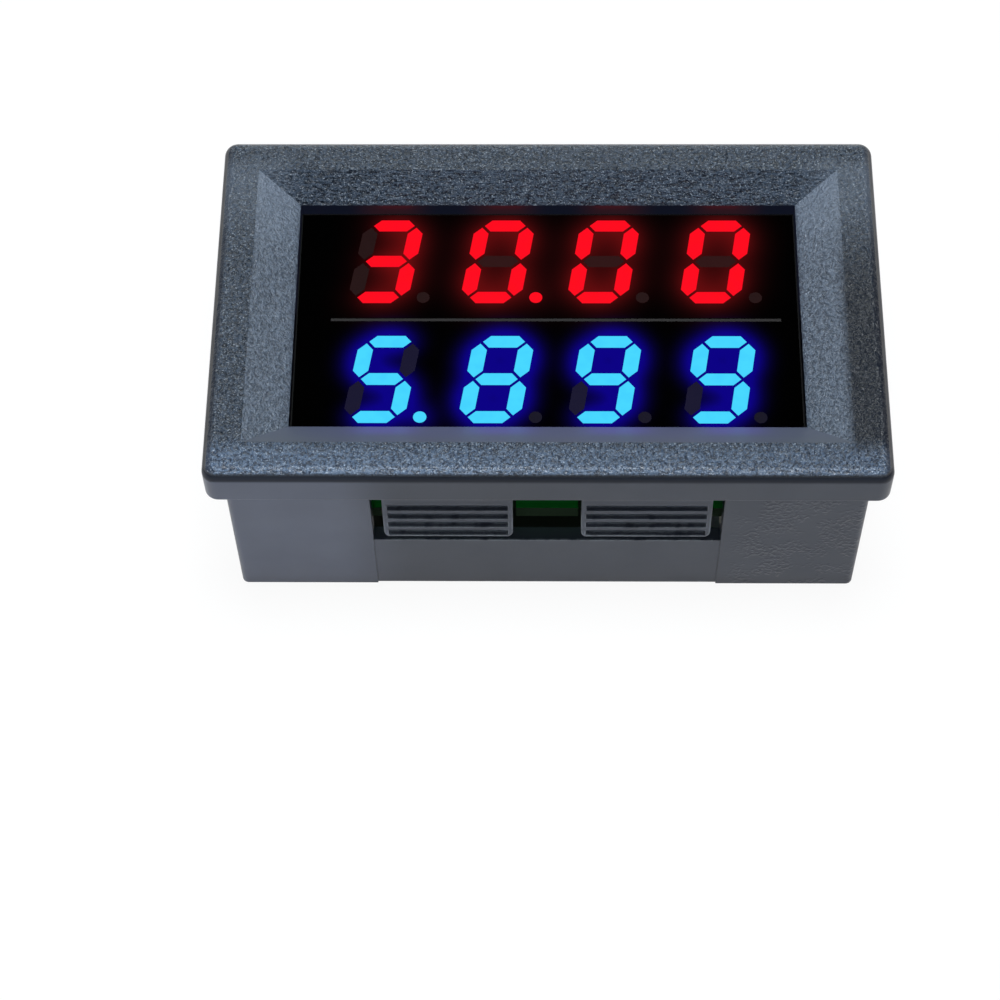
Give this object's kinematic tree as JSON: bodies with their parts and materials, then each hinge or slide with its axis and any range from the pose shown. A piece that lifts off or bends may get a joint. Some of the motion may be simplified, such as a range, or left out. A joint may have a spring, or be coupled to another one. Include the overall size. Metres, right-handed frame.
{
  "type": "digital panel meter",
  "caption": "Snap-in panel meter with a bevelled bezel, ribbed snap tongues, a two-row seven-segment LED display and an open-backed sleeve holding its circuit board.",
  "frame": {"origin": "centre of the rear rim of the sleeve, on the surface that the meter lies on", "axes": "+Z out of the display, +Y to the top of the digits, +X to their right"},
  "size_m": [0.048, 0.029, 0.0178],
  "materials": {
    "housing_plastic": "blue-grey ABS with a fine spark-eroded grain",
    "display_black": "black printed display face",
    "red_light_guides": "cast diffusing resin lit red",
    "blue_light_guides": "cast diffusing resin lit light blue",
    "carrier_board": "dark glass-epoxy board",
    "green_board": "green solder mask on glass epoxy",
    "tinned_metal": "bright tin plating",
    "solder": "satin solder",
    "white_nylon": "natural white nylon",
    "manganin": "drawn resistance wire",
    "trimmer_plastic": "dark blue thermoset",
    "trimmer_rotor_metal": "stamped plated steel",
    "chip_plastic": "black moulding compound",
    "capacitor_can": "drawn aluminium",
    "capacitor_base": "black base plate",
    "resistor_film": "black glazed resistor film",
    "capacitor_ceramic": "fired brown ceramic"
  },
  "bodies": {
    "meter": {"housing": "housing_plastic", "display_shell": "display_black", "voltage_digit_1": "red_light_guides", "voltage_digit_2": "red_light_guides", "voltage_digit_3": "red_light_guides", "voltage_digit_4": "red_light_guides", "current_digit_1": "blue_light_guides", "current_digit_2": "blue_light_guides", "current_digit_3": "blue_light_guides", "current_digit_4": "blue_light_guides", "display_carrier": "carrier_board", "display_pins": "tinned_metal", "display_solder": "solder", "circuit_board": "green_board", "supply_socket": "white_nylon", "supply_socket_pins": "tinned_metal", "current_socket": "white_nylon", "current_socket_pins": "tinned_metal", "socket_solder": "solder", "current_shunt": "manganin", "voltage_trimmer_body": "trimmer_plastic", "current_trimmer_body": "trimmer_plastic", "trimmer_terminals": "tinned_metal", "microcontroller": "chip_plastic", "microcontroller_leads": "tinned_metal", "display_driver": "chip_plastic", "display_driver_leads": "tinned_metal", "op_amp": "chip_plastic", "op_amp_leads": "tinned_metal", "voltage_regulator": "chip_plastic", "voltage_regulator_tabs": "tinned_metal", "protection_diode": "chip_plastic", "protection_diode_tabs": "tinned_metal", "filter_capacitor_can": "capacitor_can", "filter_capacitor_base": "capacitor_base", "filter_capacitor_tabs": "tinned_metal", "chip_resistors": "resistor_film", "chip_resistor_ends": "tinned_metal", "chip_capacitors": "capacitor_ceramic", "chip_capacitor_ends": "tinned_metal"},
    "voltage_rotor": {"voltage_trimmer_rotor": "trimmer_rotor_metal"},
    "current_rotor": {"current_trimmer_rotor": "trimmer_rotor_metal"}
  },
  "joints": [
    {"name": "voltage_trimmer_turn", "type": "hinge", "parent": "meter", "child": "voltage_rotor", "pos_m": [0.0122, 0.0082, 0.0065], "axis": [0, 0, -1], "range_deg": [-120, 120]},
    {"name": "current_trimmer_turn", "type": "hinge", "parent": "meter", "child": "current_rotor", "pos_m": [0.0176, 0.0082, 0.0065], "axis": [0, 0, -1], "range_deg": [-120, 120]}
  ]
}
